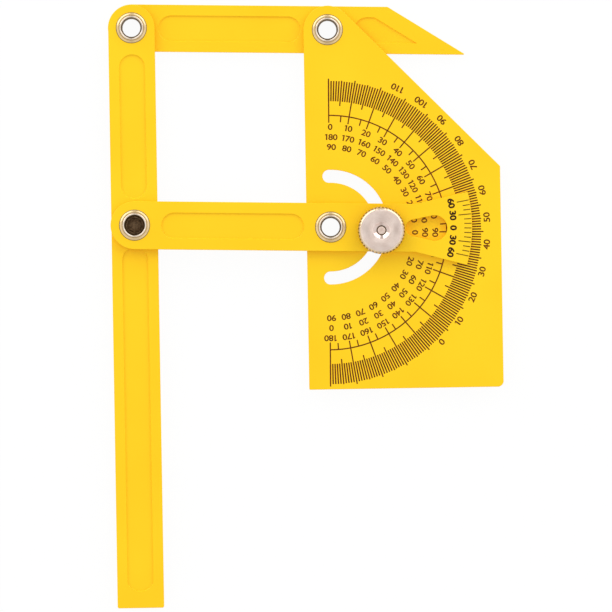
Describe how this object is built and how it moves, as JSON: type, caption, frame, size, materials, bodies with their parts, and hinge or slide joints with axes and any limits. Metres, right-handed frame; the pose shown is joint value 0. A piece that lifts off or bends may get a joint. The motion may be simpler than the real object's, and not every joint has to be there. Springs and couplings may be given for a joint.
{
  "type": "angle finder with arms",
  "caption": "Flat yellow protractor plate with folding arms riveted as a parallelogram. A windowed vernier arm sweeps the scale, and a knurled nut clamps it in an arc slot.",
  "frame": {"origin": "on the centre pivot's axis, in the plane of the plate's back face", "axes": "+X across the plate towards the fan, +Y from the centre pivot towards the upper pivot, +Z out of the printed face"},
  "size_m": [0.1689, 0.2612, 0.0171],
  "materials": {
    "yellow_plastic": "moulded ABS sheet with a satin sheen",
    "nickel": "bright nickel plate with a warm tint",
    "zinc_steel": "zinc plated",
    "turned_nickel": "turned face, fine knurled rim, nickel plated"
  },
  "bodies": {
    "plate": {"protractor_plate": "yellow_plastic", "upper_eyelet": "nickel", "upper_washer": "nickel", "centre_eyelet": "nickel", "centre_washer": "nickel"},
    "indicator": {"indicator_arm": "yellow_plastic", "blind_rivet": "nickel", "rivet_washer": "nickel", "clamp_bolt": "zinc_steel"},
    "top": {"top_arm": "yellow_plastic"},
    "long": {"long_arm": "yellow_plastic", "corner_eyelet": "nickel", "corner_washer": "nickel"},
    "nut_seat": {"nut_washer": "zinc_steel"},
    "nut": {"thumb_nut": "turned_nickel"}
  },
  "joints": [
    {"name": "indicator_swing", "type": "hinge", "parent": "plate", "child": "indicator", "pos_m": [0, 0, 0], "axis": [0, 0, 1], "range_deg": [-73.5, 76.5]},
    {"name": "top_arm_swing", "type": "hinge", "parent": "plate", "child": "top", "pos_m": [0, 0.0854, 0], "axis": [0, 0, 1], "range_deg": [-73.5, 76.5]},
    {"name": "long_arm_swing", "type": "hinge", "parent": "top", "child": "long", "pos_m": [-0.08477, 0.08762, 0], "axis": [0, 0, 1], "range_deg": [-76.5, 73.5]},
    {"name": "nut_lift", "type": "slide", "parent": "indicator", "child": "nut_seat", "axis": [0, 0, 1], "range_m": [0, 0.0014]},
    {"name": "nut_turn", "type": "hinge", "parent": "nut_seat", "child": "nut", "pos_m": [0.02193, -0.0018, 0.0095], "axis": [0, 0, 1], "range_deg": [0, 720]}
  ],
  "couplings": [
    {"joint": "top_arm_swing", "follows": "indicator_swing", "ratio": 1},
    {"joint": "long_arm_swing", "follows": "indicator_swing", "ratio": -1},
    {"joint": "nut_lift", "follows": "nut_turn", "m_per_rad": 0.0001114}
  ]
}
